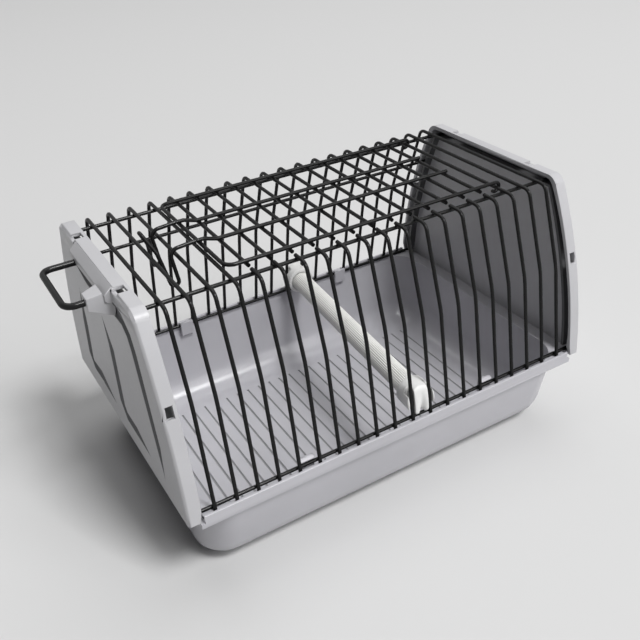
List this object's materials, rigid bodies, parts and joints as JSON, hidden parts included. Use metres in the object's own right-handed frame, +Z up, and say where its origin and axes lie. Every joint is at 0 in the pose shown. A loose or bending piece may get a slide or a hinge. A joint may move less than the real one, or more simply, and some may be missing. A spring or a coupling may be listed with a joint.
{
  "type": "bird cage",
  "caption": "Low wire travel cage for a small bird: arched wires between two moulded end panels on a deep tray, hinged roof door with spring latch, and a fluted perch.",
  "frame": {"origin": "middle of the tray's underside, on the surface it stands on", "axes": "+X along the cage from the handle end to the plain end, -Y towards the front, +Z up"},
  "size_m": [0.2691, 0.1696, 0.1585],
  "materials": {
    "tray_plastic": "smooth moulded light grey plastic",
    "panel_plastic": "smooth moulded light grey plastic",
    "cap_plastic": "smooth moulded white plastic",
    "perch_plastic": "satin fluted plastic",
    "cage_wire": "glossy black coating on steel wire",
    "door_wire": "glossy black coating on steel wire",
    "handle_wire": "glossy black coating on steel wire"
  },
  "bodies": {
    "base": {"tray": "tray_plastic", "left_end_panel": "panel_plastic", "right_end_panel": "panel_plastic", "end_handle": "handle_wire", "front_bottom_rail": "cage_wire", "rear_bottom_rail": "cage_wire", "rear_middle_rail": "cage_wire", "front_top_rail": "cage_wire", "rear_top_rail": "cage_wire", "body_wire_01": "cage_wire", "body_wire_02": "cage_wire", "body_wire_03": "cage_wire", "body_wire_04": "cage_wire", "body_wire_18": "cage_wire", "body_wire_19": "cage_wire", "body_wire_20": "cage_wire", "front_wire_05": "cage_wire", "front_wire_06": "cage_wire", "front_wire_07": "cage_wire", "front_wire_08": "cage_wire", "front_wire_09": "cage_wire", "front_wire_10": "cage_wire", "front_wire_11": "cage_wire", "front_wire_12": "cage_wire", "front_wire_13": "cage_wire", "front_wire_14": "cage_wire", "front_wire_15": "cage_wire", "front_wire_16": "cage_wire", "front_wire_17": "cage_wire", "rear_cut_wires": "cage_wire"},
    "door": {"door_frame": "door_wire", "door_bar_05": "door_wire", "door_bar_06": "door_wire", "door_bar_07": "door_wire", "door_bar_08": "door_wire", "door_bar_09": "door_wire", "door_bar_10": "door_wire", "door_bar_11": "door_wire", "door_bar_12": "door_wire", "door_bar_13": "door_wire", "door_bar_14": "door_wire", "door_bar_15": "door_wire", "door_bar_16": "door_wire", "door_bar_17": "door_wire", "front_door_stay": "door_wire", "rear_door_stay": "door_wire"},
    "latch": {"latch_loop": "door_wire"},
    "perch": {"perch_rod": "perch_plastic", "front_perch_cap": "cap_plastic", "rear_perch_cap": "cap_plastic"}
  },
  "joints": [
    {"name": "door_hinge", "type": "hinge", "parent": "base", "child": "door", "pos_m": [0.08625, 0, 0.1475], "axis": [0, 1, 0], "range_deg": [0, 150], "deforming": ["latch_loop"]},
    {"name": "latch_flex", "type": "hinge", "parent": "door", "child": "latch", "pos_m": [-0.07615, 0, 0.152], "axis": [0, 1, 0], "range_deg": [0, 12], "stiffness_Nm_per_rad": 0.12},
    {"name": "perch_lift", "type": "slide", "parent": "base", "child": "perch", "axis": [0, 0, 1], "range_m": [0, 0.008]}
  ]
}
